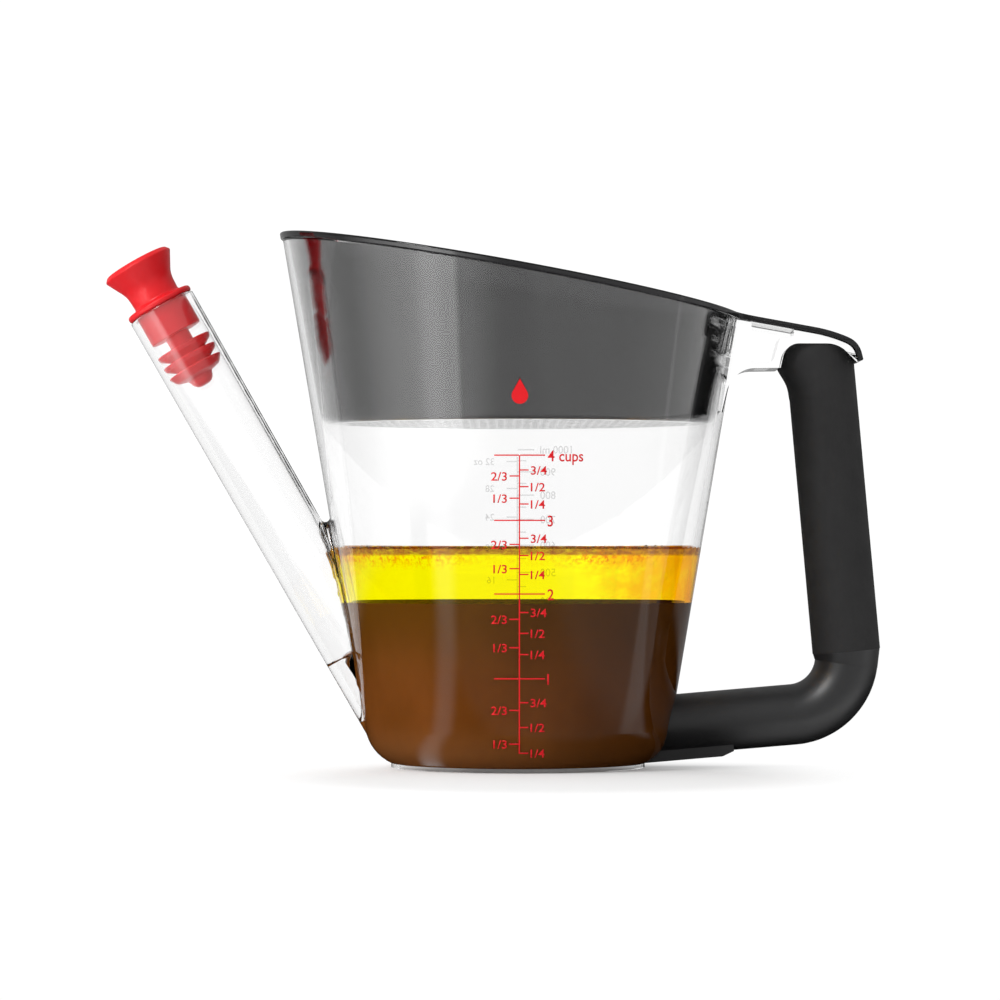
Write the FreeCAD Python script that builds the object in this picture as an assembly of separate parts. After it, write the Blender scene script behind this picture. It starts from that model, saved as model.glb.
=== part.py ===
import FreeCAD, Part
import math
import os

from FreeCAD import Vector

# Gravy fat separator: a tapered clear jug with a long slanted pouring spout, a bridged handle
# with a soft grip, a drop-in strainer with a thumb tab, and a silicone stopper for the spout.
# Millimetres. +Z is up, +X points to the handle, -X to the spout. The origin is the centre of
# the foot ring, on the surface that the jug stands on.

# ---------------------------------------------------------------- driving dimensions: jug
CUP_R0 = 48.7             # the outer cone's radius, produced down to Z = 0
CUP_TAPER_RATIO = 0.169         # radius gained per millimetre of height
CUP_CORNER_R = 15.0       # rounding between the wall and the base
FOOT_RING_INSET = 6.5     # the foot ring's outside lies this far inside the cone
FOOT_RING_W = 2.6
FOOT_RECESS = 1.4         # the base is hollowed this deep inside the foot ring
FLOOR_T = 3.0
WALL_AT_BASE = 2.5
WALL_THINNING_RATIO = 0.0042    # wall lost per millimetre of height, so that the core draws out
INNER_CORNER_R = 12.0
RIM_SLOPE = 0.180         # the rim falls towards the handle
LIP_TOP_Z = 163.4         # top face of the strainer's lip, on the cup's axis
LIP_T = 2.0
SEAT_GAP = 0.2            # between a loose piece and the face that it rests on

# ---------------------------------------------------------------- driving dimensions: spout
SPOUT_ROOT_Z = 10.65      # the tube's outer side springs from the cup's wall at this height
SPOUT_LEAN = 29.7         # degrees from vertical, away from the cup
SPOUT_REACH = 157.6       # along the tube's axis, from abreast of the root to the mouth
SPOUT_HEEL = 2.0          # the tube runs on below the root, into the cup's corner
SPOUT_MOUTH_R = 11.65
SPOUT_FOOT_R = 11.0
SPOUT_WEB_R = 1.5         # fillet between the tube and the cup
MOUTH_EDGE_R = 0.5
BORE_MOUTH_R = 9.95
BORE_FOOT_R = 9.4
BORE_CORNER_R = 1.2
BORE_START = 25.8         # the round bore ends this far above the root
PASSAGE_LENGTH = 21.2     # a flat passage goes on from there through the cup's wall
PASSAGE_CHORD = 4.7       # it is the part of the bore that lies further out than this
PASSAGE_INSET = 0.6       # it is this much smaller than the bore

# ---------------------------------------------------------------- driving dimensions: handle
HANDLE_REACH = 64.15      # from the cone to the grip's centre line, at Z = 0
GRIP_LEAN = 5.16          # degrees, the grip's top leans towards the cup
GRIP_HALF_X = 11.25
GRIP_HALF_Y = 13.6
GRIP_PROUD = 0.1          # the sleeve stands out from the elbow at their seam
# height above the cusp, and swelling towards the cup, of the sections that shape the top
GRIP_SWELL = ((-10.3, 0.0), (-6.8, 0.35), (-3.8, 1.3), (-1.3, 2.6), (1.7, 3.6), (12.7, 4.2))
CROWN_DROP = 5.0          # from the lip's top face to the top of the grip
CROWN_FLAT = 5.4          # the crown is level to this far beyond the grip's centre line
CROWN_FALL_RATIO = 0.95         # and then falls this much per millimetre
CROWN_R = (5.5, 9.0)      # its roundings, on the cup's side and on the far side
CUSP_DROP = 8.1           # from the crown to the cusp that points at the cup
CUSP_SWELL = 3.0          # how far the cusp stands out from the grip
ARM_ROOT_Z = 13.9         # the lower arm's centre line leaves the cup's wall here
ARM_RISE = 4.9            # degrees, the arm climbs away from the cup
ARM_HALF_Z = 10.1
ARM_HALF_Y = 12.2
ELBOW_R = 19.5            # of the centre line
ELBOW_END_HALF = (10.5, 12.9)
COLLAR_H = 4.3            # the elbow flares out to the sleeve over this height
STEM_HALF = (5.5, 7.0)
STEM_ROOT = 6.0           # the stem starts this far down inside the elbow
PAD_T = 1.45              # flat pad under the arm's root
PAD_LENGTH = 15.8
PAD_RAMP = 3.9
PAD_HALF_W = 7.5

# ---------------------------------------------------------------- driving dimensions: bridge and tab
TAB_HALF_W = 15.0
TAB_ROOT_HALF_W = 16.5
TAB_ROOT_R = 9.0          # fillet in plan between the tab and the rim
TAB_SIDE_R = 40.0
TAB_END_R = 10.0
TAB_REACH = 16.8          # the tab's tip lies this far beyond the grip's centre line
TAB_BEND_BACK = 2.2       # its bend starts this far before the centre line
TAB_BENDS = ((50.0, 24.0), (7.5, 75.0))    # radius, and the heading that the bend ends at
TAB_TIP = 2.4             # straight end after the bends
BRIDGE_INSET = 0.9        # the bridge is this much narrower than the tab, on each side
BRIDGE_ROOT_R = 9.0
BRIDGE_RISE = 0.2         # of the bridge's underside, from the cup to the cusp
POCKET_START = 0.39       # the open pocket under the tab starts this share of the way to the cusp
POCKET_FLOOR_T = 2.1
POCKET_WALL = 2.2
POCKET_LEAN = 2.4         # its far end leans out by this much
POCKET_CORNER_R = 1.4
POCKET_ROOF_GAP = 2.5     # from the crown to the edge where the pocket opens over the grip
POCKET_ROOF_REACH = 4.5

# ---------------------------------------------------------------- driving dimensions: strainer
BASKET_DEPTH = 49.4       # from the lip's top face, on the axis, to the underside of the floor
BASKET_GAP_FLOOR = 0.7    # clearance to the cup at the floor, closing towards the rim
BASKET_CLOSING_RATIO = 0.0055
BASKET_WALL = 1.6
BASKET_CORNER_R = 3.0
LIP_OVERHANG = 0.7
LIP_EDGE_R = 0.5
SIEVE_INSET = 4.75        # the perforated disc is this much smaller than the basket
SIEVE_T = 1.6
SIEVE_HOLE_D = 3.0
SIEVE_PITCH = 5.8
SIEVE_MARGIN = 3.0

# ---------------------------------------------------------------- driving dimensions: stopper
STOPPER_TOP = 18.1        # height above the mouth, along the spout's axis
STOPPER_TOP_R = 12.2
STOPPER_CROWN = 0.9       # the top is domed by this much
STOPPER_BRIM = 1.4        # depth of the top's rounded edge
STOPPER_WAIST_R = 8.0
STOPPER_WAIST_H = 6.0
STOPPER_FLARE_R = 9.0
FLANGE_CLEARANCE = 0.05   # the flange is this much smaller than the mouth
FLANGE_T = 2.3
PLUG_CLEARANCE = 0.75
PLUG_LENGTH = 10.4
NECK_R = 4.4
NECK_LENGTH = 4.2
FIN_COUNT = 3
FIN_PITCH = 3.9
FIN_CLEARANCE = 0.2
FIN_EDGE_T = 0.8
FIN_ROOT_R = 5.4
FIN_GROOVE = 0.6          # level part of the groove between two fins
BULB_R = 5.0
BULB_LENGTH = 7.7
BULB_TIP_FLAT = 0.8
SMALL_R = 0.3             # roundings in the stopper's inner corners

# ---------------------------------------------------------------- derived sizes
TALL = 200.0                           # height and reach of the cutting tools
CUT_OVER = 1.0                         # they run past the faces that they cut by this
ON_SURFACE = 1e-3                      # faces closer than this count as touching
RIM_DEPTH = LIP_T + SEAT_GAP           # the jug's rim, below the lip's top face
GRIP_AXIS_X0 = CUP_R0 + HANDLE_REACH
FOOT_RING_R = CUP_R0 - FOOT_RING_INSET
BASKET_FLOOR_Z = LIP_TOP_Z - BASKET_DEPTH
BORE_DEPTH = SPOUT_REACH - BORE_START
UP = Vector(0, 0, 1)
ORIGIN = Vector(0, 0, 0)


def cup_outer_r(z):
    return CUP_R0 + CUP_TAPER_RATIO * z


def cup_wall_r(z):
    """Radius of the cup's outside, with its rounded corner."""
    lean = math.atan(CUP_TAPER_RATIO)
    corner_top = CUP_CORNER_R * (1 - math.sin(lean))
    if z >= corner_top:
        return cup_outer_r(z)
    corner_r = cup_outer_r(corner_top) - CUP_CORNER_R * math.cos(lean)
    return corner_r + math.sqrt(CUP_CORNER_R ** 2 - (CUP_CORNER_R - z) ** 2)


def cup_inner_r(z):
    return cup_outer_r(z) - WALL_AT_BASE + WALL_THINNING_RATIO * z


def basket_outer_r(z):
    gap = BASKET_GAP_FLOOR - BASKET_CLOSING_RATIO * (z - BASKET_FLOOR_Z)
    return cup_inner_r(z) - gap


def bore_r(depth):
    return BORE_MOUTH_R - (BORE_MOUTH_R - BORE_FOOT_R) * depth / BORE_DEPTH


def lip_top(x):
    return LIP_TOP_Z - RIM_SLOPE * x


def rim_x():
    """Where the cup's outer cone meets the lip's top plane, on the handle's side."""
    return cup_outer_r(LIP_TOP_Z) / (1 + CUP_TAPER_RATIO * RIM_SLOPE)


def heading(degrees):
    """Unit vector in the XZ plane, at an angle above +X."""
    angle = math.radians(degrees)
    return Vector(math.cos(angle), 0, math.sin(angle))


SPOUT_UP = heading(90 + SPOUT_LEAN)
GRIP_UP = heading(90 + GRIP_LEAN)
ARM_OUT = heading(ARM_RISE)
ARM_ROOT = Vector(cup_outer_r(ARM_ROOT_Z), 0, ARM_ROOT_Z)


def spout_mouth():
    """Centre of the mouth, one radius inwards from the line through the tube's root."""
    root = Vector(-cup_wall_r(SPOUT_ROOT_Z), 0, SPOUT_ROOT_Z)
    return root + heading(SPOUT_LEAN) * SPOUT_FOOT_R + SPOUT_UP * SPOUT_REACH


def grip_axis(z):
    """Point of the grip's centre line at a height."""
    return Vector(GRIP_AXIS_X0 - math.tan(math.radians(GRIP_LEAN)) * z, 0, z)


def crown_centre():
    """Where the grip's centre line meets the crown, which follows the lip's plane."""
    lean = math.tan(math.radians(GRIP_LEAN))
    over_axis = lip_top(GRIP_AXIS_X0) - CROWN_DROP
    return grip_axis(over_axis / (1 - RIM_SLOPE * lean))


def cusp():
    """The point of the grip's top, under the bridge, that looks towards the cup."""
    level = crown_centre().z - CUSP_DROP
    half = GRIP_HALF_X / math.cos(math.radians(GRIP_LEAN))
    return grip_axis(level) - Vector(half + CUSP_SWELL, 0, 0)


def elbow_points():
    """Start and end of the elbow's centre line, and the centre that it bends about."""
    arm_to_grip = math.radians(90 + GRIP_LEAN - ARM_RISE)
    foot = grip_axis(0)
    # the corner where the arm's and the grip's centre lines cross
    across = (foot - ARM_ROOT).dot(heading(ARM_RISE + 90))
    corner = foot - GRIP_UP * (across / math.sin(arm_to_grip))
    reach = ELBOW_R * math.tan(arm_to_grip / 2)
    start = corner - ARM_OUT * reach
    return start, corner + GRIP_UP * reach, start + heading(ARM_RISE + 90) * ELBOW_R


# ---------------------------------------------------------------- helpers
def rounded_wire(corners, plane="XZ"):
    """Closed wire through corners (a, b, radius), each rounded by its own radius."""
    points = [Vector(a, 0, b) if plane == "XZ" else Vector(a, b, 0) for a, b, _ in corners]
    arcs = []
    for i, (_, _, radius) in enumerate(corners):
        here = points[i]
        to_last = (points[i - 1] - here).normalize()
        to_next = (points[(i + 1) % len(points)] - here).normalize()
        half = to_last.getAngle(to_next) / 2
        reach = radius / math.tan(half)
        middle = here + (to_last + to_next).normalize() * (radius / math.sin(half) - radius)
        arcs.append((here + to_last * reach, middle, here + to_next * reach, radius))
    edges = []
    for i, (start, middle, end, radius) in enumerate(arcs):
        if radius > 0:
            edges.append(Part.Arc(start, middle, end).toShape())
        following = arcs[(i + 1) % len(arcs)][0]
        if end.distanceToPoint(following) > 1e-6:
            edges.append(Part.LineSegment(end, following).toShape())
    return Part.Wire(edges)


def turned(corners):
    """Solid of revolution about Z from a rounded outline in the XZ plane."""
    return Part.Face(rounded_wire(corners)).revolve(ORIGIN, UP, 360)


def slab(face, half_width):
    """Extrudes a face of the XZ plane to both sides of it."""
    solid = face.extrude(Vector(0, 2 * half_width, 0))
    solid.translate(Vector(0, -half_width, 0))
    return solid


def prism(corners):
    """Upright prism, as tall as the cutting tools, over a rounded outline in plan."""
    return Part.Face(rounded_wire(corners, "XY")).extrude(UP * TALL)


def under_rim(depth):
    """Everything lower than the rim's plane, depth below the lip's top face."""
    drop = depth * math.hypot(1, RIM_SLOPE)
    corners = (
        (-TALL, -TALL, 0),
        (TALL, -TALL, 0),
        (TALL, lip_top(TALL) - drop, 0),
        (-TALL, lip_top(-TALL) - drop, 0),
    )
    return slab(Part.Face(rounded_wire(corners)), TALL)


def frustum(bottom_z, bottom_r, top_z, top_r):
    return Part.makeCone(bottom_r, top_r, top_z - bottom_z, UP * bottom_z)


def ellipse_wire(centre, normal, half_x, half_y):
    """Ellipse in the plane with the given normal, half_y along Y. It starts on the +Y side."""
    along = Vector(0, half_y, 0)
    across = normal.cross(Vector(0, 1, 0)).normalize() * half_x
    if half_y >= half_x:
        return Part.Wire([Part.Ellipse(centre + along, centre + across, centre).toShape()])
    curve = Part.Ellipse(centre + across, centre - along, centre)
    return Part.Wire([Part.ArcOfEllipse(curve, 1.5 * math.pi, 3.5 * math.pi).toShape()])


def lies_on(edge, solid):
    """Whether an edge lies on the surface of a solid."""
    points = [Part.Vertex(p) for p in edge.discretize(5)]
    return all(solid.Shells[0].distToShape(p)[0] < ON_SURFACE for p in points)


def on_spout(solid):
    """Moves a solid from the Z axis to the spout's axis, with its zero height at the mouth."""
    placed = solid.copy()
    placed.rotate(ORIGIN, Vector(0, 1, 0), -SPOUT_LEAN)
    placed.translate(spout_mouth())
    return placed


# ---------------------------------------------------------------- the tab's side view and plan
def tab_edge(start_x, depth):
    """The tab's side view, depth below its top face: rim plane, two bends, straight tip.

    Returns the edges from the cup outwards, with their first and last points.
    """
    angle = -math.degrees(math.atan(RIM_SLOPE))
    bend_x = crown_centre().x - TAB_BEND_BACK
    place = Vector(bend_x, 0, lip_top(bend_x))
    first = Vector(start_x, 0, lip_top(start_x)) + heading(angle - 90) * depth
    last = place + heading(angle - 90) * depth
    edges = [Part.LineSegment(first, last).toShape()]
    for radius, end_angle in TAB_BENDS:
        centre = place + heading(angle - 90) * radius
        stops = (angle, (angle - end_angle) / 2, -end_angle)
        points = [centre + heading(stop + 90) * (radius - depth) for stop in stops]
        edges.append(Part.Arc(*points).toShape())
        angle = -end_angle
        place = centre + heading(angle + 90) * radius
        last = points[2]
    tip = last + heading(angle) * TAB_TIP
    edges.append(Part.LineSegment(last, tip).toShape())
    return edges, first, tip


def tab_strip(start_x, depth):
    """Face between the tab's top face and another depth under it."""
    top, top_first, top_tip = tab_edge(start_x, 0)
    bottom, bottom_first, bottom_tip = tab_edge(start_x, depth)
    tip = Part.LineSegment(top_tip, bottom_tip).toShape()
    root = Part.LineSegment(top_first, bottom_first).toShape()
    return Part.Face(Part.Wire(Part.__sortEdges__(top + bottom + [tip, root])))


def tab_plan(inset):
    """Plan outline of the tab, with a rounded end."""
    half = TAB_HALF_W - inset
    root = TAB_ROOT_HALF_W - inset
    middle_x = crown_centre().x
    far = middle_x + TAB_REACH - inset
    near = rim_x() - TAB_ROOT_HALF_W
    side = ((far, half, TAB_END_R), (middle_x, half, TAB_SIDE_R), (near, root, 0))
    return side + tuple((x, -y, r) for x, y, r in reversed(side))


# ---------------------------------------------------------------- jug
def cup_envelope():
    """The cup's outer form as a solid plug, taller than the rim."""
    body = turned((
        (0, 0, 0),
        (CUP_R0, 0, CUP_CORNER_R),
        (cup_outer_r(TALL), TALL, 0),
        (0, TALL, 0),
    ))
    ring = Part.makeCylinder(FOOT_RING_R, CUP_CORNER_R / 3)
    return body.fuse(ring).removeSplitter()


def cup_core():
    """The space inside the cup."""
    floor = FOOT_RECESS + FLOOR_T
    return turned((
        (0, floor, 0),
        (cup_inner_r(floor), floor, INNER_CORNER_R),
        (cup_inner_r(2 * TALL), 2 * TALL, 0),
        (0, 2 * TALL, 0),
    ))


def grip_space():
    """Everything under the bridge's rounded crown, where the grip's top sits."""
    point = cusp()
    crown = crown_centre()
    shoulder = CROWN_R[0] / 3
    end_x = crown.x + CROWN_FLAT
    beyond = TAB_REACH + GRIP_HALF_X
    corners = (
        (0, 0, 0),
        (end_x + beyond, 0, 0),
        (end_x + beyond, crown.z - CROWN_FALL_RATIO * beyond, 0),
        (end_x, crown.z, CROWN_R[1]),
        (point.x + shoulder, crown.z, CROWN_R[0]),
        (point.x, point.z, 0),
        (0, 0.5 * point.z, 0),
    )
    return slab(Part.Face(rounded_wire(corners)), TALL / 2)


def bridge():
    """Clear bridge from the rim to the top of the handle, with an open pocket under the tab."""
    point = cusp()
    root_z = point.z - BRIDGE_RISE
    heel_z = root_z - 2 * BRIDGE_ROOT_R
    inner_x = cup_inner_r(heel_z) - BRIDGE_ROOT_R
    top, first, tip = tab_edge(inner_x, RIM_DEPTH)
    heel = Vector(inner_x, 0, heel_z)
    wall_low = Vector(cup_outer_r(heel_z) - WALL_AT_BASE / 2, 0, heel_z)
    # the rounded corner between the cup's wall and the bridge's underside
    root = Vector(cup_outer_r(root_z), 0, root_z)
    to_wall = (wall_low - root).normalize()
    to_cusp = (point - root).normalize()
    half = to_wall.getAngle(to_cusp) / 2
    reach = BRIDGE_ROOT_R / math.tan(half)
    bulge = BRIDGE_ROOT_R / math.sin(half) - BRIDGE_ROOT_R
    arc_start = root + to_wall * reach
    arc_middle = root + (to_wall + to_cusp).normalize() * bulge
    arc_end = root + to_cusp * reach
    chin = Vector(tip.x, 0, min(tip.z, point.z) - CUT_OVER)
    outline = [tip, chin, point, arc_end]
    edges = top + [Part.LineSegment(a, b).toShape() for a, b in zip(outline, outline[1:])]
    edges.append(Part.Arc(arc_end, arc_middle, arc_start).toShape())
    outline = [arc_start, wall_low, heel, first]
    edges += [Part.LineSegment(a, b).toShape() for a, b in zip(outline, outline[1:])]
    side = slab(Part.Face(Part.Wire(Part.__sortEdges__(edges))), TALL / 4)
    solid = side.common(prism(tab_plan(BRIDGE_INSET)))

    floor_z = point.z + POCKET_FLOOR_T
    near = root.x + POCKET_START * (point.x - root.x)
    roof_z = crown_centre().z + POCKET_ROOF_GAP
    pocket = slab(Part.Face(rounded_wire((
        (near, floor_z, POCKET_CORNER_R),
        (point.x - POCKET_LEAN, floor_z, POCKET_CORNER_R),
        (point.x, roof_z, POCKET_CORNER_R),
        (point.x + POCKET_ROOF_REACH, roof_z, 0),
        (point.x + POCKET_ROOF_REACH, TALL, 0),
        (near, TALL, 0),
    ))), TAB_HALF_W - BRIDGE_INSET - POCKET_WALL)
    return solid.cut(pocket).cut(grip_space())


def spout_passage():
    """Flat passage from the foot of the bore through the cup's wall."""
    bottom = -BORE_DEPTH - PASSAGE_LENGTH
    top = -BORE_DEPTH + CUT_OVER
    radius = BORE_FOOT_R - PASSAGE_INSET
    round_part = Part.makeCylinder(radius, top - bottom, UP * bottom)
    beyond_chord = Part.makeBox(TALL, TALL, 2 * TALL, Vector(-PASSAGE_CHORD - TALL, -TALL / 2, -TALL))
    return on_spout(round_part.common(beyond_chord))


def spout_bore():
    """The round bore, open at the mouth, whose edge it rounds."""
    beyond = SPOUT_MOUTH_R + CUT_OVER
    above = MOUTH_EDGE_R + CUT_OVER
    return on_spout(turned((
        (0, -BORE_DEPTH, 0),
        (BORE_FOOT_R, -BORE_DEPTH, BORE_CORNER_R),
        (BORE_MOUTH_R, 0, MOUTH_EDGE_R),
        (beyond, 0, 0),
        (beyond, above, 0),
        (0, above, 0),
    )))


def jug_cup():
    outer = cup_envelope().fuse(bridge()).common(under_rim(RIM_DEPTH))
    recess = Part.makeCylinder(FOOT_RING_R - FOOT_RING_W, FOOT_RECESS + CUT_OVER, UP * -CUT_OVER)
    return outer.cut(cup_core()).cut(recess).cut(spout_passage())


def spout():
    """Long tube on the cup's wall, with a web along their seam."""
    tube = on_spout(turned((
        (0, -SPOUT_REACH - SPOUT_HEEL, 0),
        (SPOUT_FOOT_R, -SPOUT_REACH - SPOUT_HEEL, 0),
        (SPOUT_MOUTH_R, 0, MOUTH_EDGE_R),
        (0, 0, 0),
    )))
    envelope = cup_envelope()
    joined = envelope.fuse(tube)
    seam = [e for e in joined.Edges if lies_on(e, tube) and lies_on(e, envelope)]
    webbed = joined.makeFillet(SPOUT_WEB_R, seam)
    return webbed.cut([envelope], ON_SURFACE).cut(spout_bore()).cut(spout_passage())


# ---------------------------------------------------------------- handle
def above_seam():
    """Half-space above the joint between the elbow and the grip."""
    box = Part.makeBox(TALL, TALL, TALL, Vector(-TALL / 2, -TALL / 2, 0))
    box.rotate(ORIGIN, Vector(0, 1, 0), -GRIP_LEAN)
    box.translate(elbow_points()[1])
    return box


def stem():
    """Hidden rigid stem that carries the grip, from the elbow up to the bridge."""
    start = elbow_points()[1] - GRIP_UP * STEM_ROOT
    bar = Part.Face(ellipse_wire(start, GRIP_UP, *STEM_HALF)).extrude(GRIP_UP * TALL)
    return bar.common(grip_space())


def elbow():
    """Swept bend that grows from the arm's section to the grip's, with a flared collar."""
    start, end, centre = elbow_points()
    turn = 90 + GRIP_LEAN - ARM_RISE

    def on_bend(degrees):
        return centre + heading(ARM_RISE - 90 + degrees) * ELBOW_R

    path = Part.Wire([Part.Arc(start, on_bend(turn / 2), end).toShape()])
    sweep = Part.BRepOffsetAPI.MakePipeShell(path)
    sweep.setFrenetMode(True)
    sweep.add(ellipse_wire(start, ARM_OUT, ARM_HALF_Z, ARM_HALF_Y))
    sweep.add(ellipse_wire(end, GRIP_UP, *ELBOW_END_HALF))
    sweep.build()
    sweep.makeSolid()

    back = math.degrees(COLLAR_H / ELBOW_R)
    collar_start = on_bend(turn - back)
    collar = Part.makeLoft([
        ellipse_wire(collar_start, heading(ARM_RISE + turn - back), *ELBOW_END_HALF),
        ellipse_wire(end, GRIP_UP, GRIP_HALF_X - GRIP_PROUD, GRIP_HALF_Y - GRIP_PROUD),
    ], True)
    return sweep.shape().fuse(collar)


def arm():
    """Lower arm from inside the cup's wall to the elbow, with a flat pad under its root."""
    start = elbow_points()[0]
    run = (start - ARM_ROOT).Length
    into_cup = CUP_CORNER_R + ARM_HALF_Z
    bar = Part.Face(ellipse_wire(start, ARM_OUT, ARM_HALF_Z, ARM_HALF_Y))
    low = -ARM_HALF_Z - PAD_T
    high = -0.5 * ARM_HALF_Z
    ramp_end = PAD_LENGTH + PAD_RAMP
    profile = ((-into_cup / 2, low), (PAD_LENGTH, low), (ramp_end, -ARM_HALF_Z), (ramp_end, high),
               (-into_cup / 2, high))
    points = [ARM_ROOT + ARM_OUT * along + heading(ARM_RISE + 90) * up for along, up in profile]
    pad = slab(Part.Face(Part.makePolygon(points + points[:1])), PAD_HALF_W)
    return bar.extrude(ARM_OUT * -(run + into_cup)).fuse(pad)


def handle_frame():
    """Rigid lower arm, elbow and hidden stem."""
    return arm().fuse([elbow(), stem()]).cut(cup_envelope()).removeSplitter()


def handle_grip():
    """Soft sleeve over the stem; its top swells to a cusp under the bridge."""
    half_x = GRIP_HALF_X / math.cos(math.radians(GRIP_LEAN))
    cusp_z = cusp().z

    def level_section(z, swell):
        centre = grip_axis(z) - Vector(swell / 2, 0, 0)
        return ellipse_wire(centre, UP, half_x + swell / 2, GRIP_HALF_Y)

    low = elbow_points()[1].z - GRIP_HALF_X
    swell_z = cusp_z + GRIP_SWELL[0][0]
    shank = Part.Face(level_section(low, 0)).extrude(grip_axis(swell_z) - grip_axis(low))
    swelling = Part.makeLoft([level_section(cusp_z + z, swell) for z, swell in GRIP_SWELL], True)
    sleeve = shank.fuse(swelling).common(grip_space()).common(above_seam())
    return sleeve.cut(stem())


# ---------------------------------------------------------------- strainer
def strainer_basket():
    """Drop-in wall with a lip that lies on the jug's rim and a thumb tab over the handle."""
    floor = BASKET_FLOOR_Z
    wall = turned((
        (0, floor, 0),
        (basket_outer_r(floor), floor, BASKET_CORNER_R),
        (basket_outer_r(TALL), TALL, 0),
        (0, TALL, 0),
    ))
    rim_band = frustum(floor, cup_outer_r(floor) + LIP_OVERHANG, TALL, cup_outer_r(TALL) + LIP_OVERHANG)
    lip = rim_band.common(under_rim(0)).cut(under_rim(LIP_T))
    tab = slab(tab_strip(rim_x() - TAB_ROOT_HALF_W, LIP_T), TALL / 4).common(prism(tab_plan(0)))
    bottom = floor + SIEVE_T
    inside = turned((
        (0, bottom, 0),
        (basket_outer_r(floor) - BASKET_WALL, bottom, BASKET_CORNER_R - BASKET_WALL),
        (basket_outer_r(TALL) - BASKET_WALL, TALL, 0),
        (0, TALL, 0),
    ))
    opening = Part.makeCylinder(sieve_r(), TALL, UP * (floor - TALL / 2))
    solid = wall.common(under_rim(0)).fuse([lip, tab]).removeSplitter()
    overhang = [e for e in solid.Edges if beyond_cup(e)]
    tab_root = [e for e in overhang if e.Length < 1.2 * LIP_T and e.BoundBox.XMax < rim_x() + LIP_OVERHANG]
    solid = solid.makeFillet(TAB_ROOT_R, tab_root)
    outline = [e for e in solid.Edges if beyond_cup(e) and e.Length > 1.2 * LIP_T]
    return solid.makeFillet(LIP_EDGE_R, outline).cut(inside).cut(opening)


def beyond_cup(edge):
    """Whether a whole edge lies outside the cup's outer cone."""
    points = edge.discretize(12)
    return all(math.hypot(p.x, p.y) > cup_outer_r(p.z) + LIP_OVERHANG / 2 for p in points)


def sieve_r():
    return basket_outer_r(BASKET_FLOOR_Z) - SIEVE_INSET


def strainer_sieve():
    """Perforated floor of the strainer, its holes on a triangular grid."""
    disc = Part.makeCylinder(sieve_r(), SIEVE_T, UP * BASKET_FLOOR_Z)
    holes_r = sieve_r() - SIEVE_MARGIN
    row_step = SIEVE_PITCH * math.sqrt(3) / 2
    rows = int(holes_r / row_step)
    holes = []
    for row in range(-rows, rows + 1):
        y = row * row_step
        shift = SIEVE_PITCH / 2 if row % 2 else 0.0
        count = int(holes_r / SIEVE_PITCH) + 1
        for column in range(-count, count + 1):
            x = column * SIEVE_PITCH + shift
            if math.hypot(x, y) < holes_r:
                below = Vector(x, y, BASKET_FLOOR_Z - SIEVE_T)
                holes.append(Part.makeCylinder(SIEVE_HOLE_D / 2, 3 * SIEVE_T, below))
    return disc.cut(Part.makeCompound(holes))


# ---------------------------------------------------------------- stopper
def stopper():
    """One turned silicone piece: pull, flange, plug, neck, sealing fins and a bulb."""
    flange_low = SEAT_GAP
    flange_high = flange_low + FLANGE_T
    flange_r = SPOUT_MOUTH_R - FLANGE_CLEARANCE
    plug_r = BORE_MOUTH_R - PLUG_CLEARANCE
    corners = [
        (0, STOPPER_TOP, 0),
        (STOPPER_TOP_R - 4 * SMALL_R, STOPPER_TOP - STOPPER_CROWN, 4 * SMALL_R),
        (STOPPER_TOP_R, STOPPER_TOP - STOPPER_CROWN - STOPPER_BRIM, 2 * SMALL_R),
        (STOPPER_WAIST_R + SMALL_R, flange_high + STOPPER_WAIST_H, STOPPER_FLARE_R),
        (STOPPER_WAIST_R, flange_high, 4 * SMALL_R),
        (flange_r, flange_high - SMALL_R, 2 * SMALL_R),
        (flange_r, flange_low, SMALL_R),
        (plug_r, flange_low, SMALL_R),
        (plug_r, -PLUG_LENGTH, SMALL_R),
        (NECK_R, -PLUG_LENGTH, 2 * SMALL_R),
    ]
    depth = PLUG_LENGTH + NECK_LENGTH
    for fin in range(FIN_COUNT):
        above_r = NECK_R if fin == 0 else FIN_ROOT_R
        below_r = BULB_R if fin == FIN_COUNT - 1 else FIN_ROOT_R
        fin_r = bore_r(depth + FIN_EDGE_T) - FIN_CLEARANCE
        corners.append((above_r, -depth, SMALL_R))
        corners.append((fin_r, -depth, 0))
        corners.append((fin_r, -depth - FIN_EDGE_T, 0))
        corners.append((below_r, -depth - FIN_PITCH + FIN_GROOVE, SMALL_R))
        depth += FIN_PITCH
    bulb_end = depth - FIN_PITCH + BULB_LENGTH
    corners.append((BULB_R, -bulb_end, BULB_R - BULB_TIP_FLAT))
    corners.append((0, -bulb_end, 0))
    return on_spout(turned(corners))


NODES = {
    "jug_cup": jug_cup,
    "spout": spout,
    "handle_frame": handle_frame,
    "handle_grip": handle_grip,
    "strainer_basket": strainer_basket,
    "strainer_sieve": strainer_sieve,
    "stopper": stopper,
}


os.makedirs("parts", exist_ok=True)
for name, build in NODES.items():
    shape = build()
    solids = shape.Solids
    if len(solids) == 1:
        shape = solids[0]
    shape.exportStep(os.path.join("parts", name + ".step"))
    box = shape.optimalBoundingBox()
    print(
        f"{name:16s} solids {len(solids)} valid {shape.isValid()} volume {shape.Volume / 1000:8.2f} cm3"
        f"  X {box.XMin:7.1f} {box.XMax:7.1f}  Y {box.YMin:6.1f} {box.YMax:6.1f}"
        f"  Z {box.ZMin:6.1f} {box.ZMax:6.1f}"
    )
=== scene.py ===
import math
import random

import bmesh
import bpy
from mathutils import Matrix, Vector
from mathutils.bvhtree import BVHTree

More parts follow.
